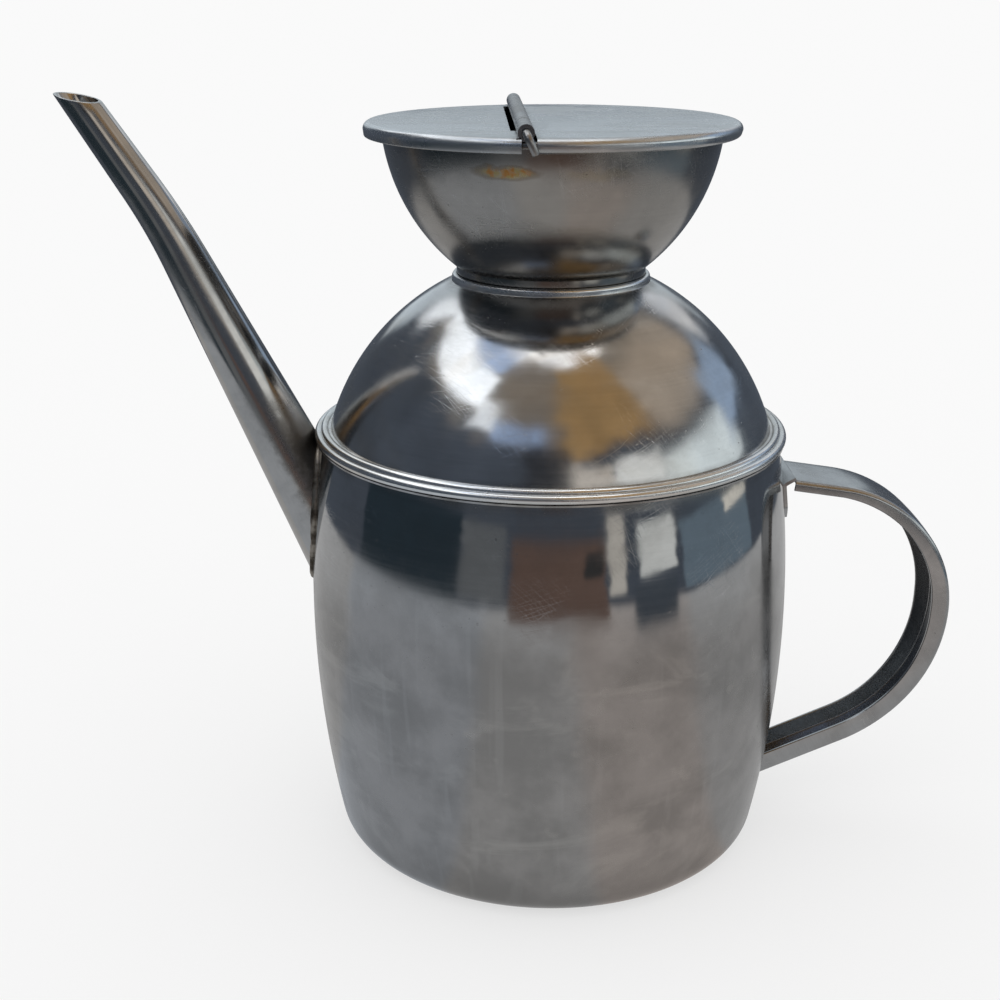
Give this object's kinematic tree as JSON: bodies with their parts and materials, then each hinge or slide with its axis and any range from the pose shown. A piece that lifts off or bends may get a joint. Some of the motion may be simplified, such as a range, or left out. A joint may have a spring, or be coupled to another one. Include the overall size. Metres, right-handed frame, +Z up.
{
  "type": "oil dispenser",
  "caption": "Barrel-shaped steel oil can with a seamed domed shoulder, slanted pouring spout, strap handle and a lift-off filling funnel under a half lid that hinges open.",
  "frame": {"origin": "centre of the can's flat base, on the surface it stands on", "axes": "+Z up along the can's axis, +X towards the handle, -X towards the spout"},
  "size_m": [0.1997, 0.11, 0.1719],
  "materials": {
    "can_steel": "worn satin",
    "shoulder_steel": "polished, finely scratched",
    "spout_steel": "satin, darker at the root",
    "braze": "rough and darkened",
    "handle_steel": "satin",
    "funnel_steel": "dull, stained near the rim",
    "lid_steel": "satin",
    "pin_steel": "drawn wire"
  },
  "bodies": {
    "can": {"body_wall": "can_steel", "body_floor": "can_steel", "seam_ring": "shoulder_steel", "shoulder_dome": "shoulder_steel", "neck_collar": "shoulder_steel", "spout_tube": "spout_steel", "spout_braze": "braze", "handle_strap": "handle_steel"},
    "funnel": {"funnel_bowl": "funnel_steel", "funnel_spigot": "funnel_steel", "strainer": "funnel_steel", "lid_fixed": "lid_steel", "hinge_pin": "pin_steel"},
    "flap": {"lid_flap": "lid_steel"}
  },
  "joints": [
    {"name": "funnel_lift", "type": "slide", "parent": "can", "child": "funnel", "axis": [0, 0, 1], "range_m": [0, 0.03]},
    {"name": "flap_hinge", "type": "hinge", "parent": "funnel", "child": "flap", "pos_m": [-0.0071, 0, 0.16699], "axis": [0, 1, 0], "range_deg": [0, 170]}
  ]
}
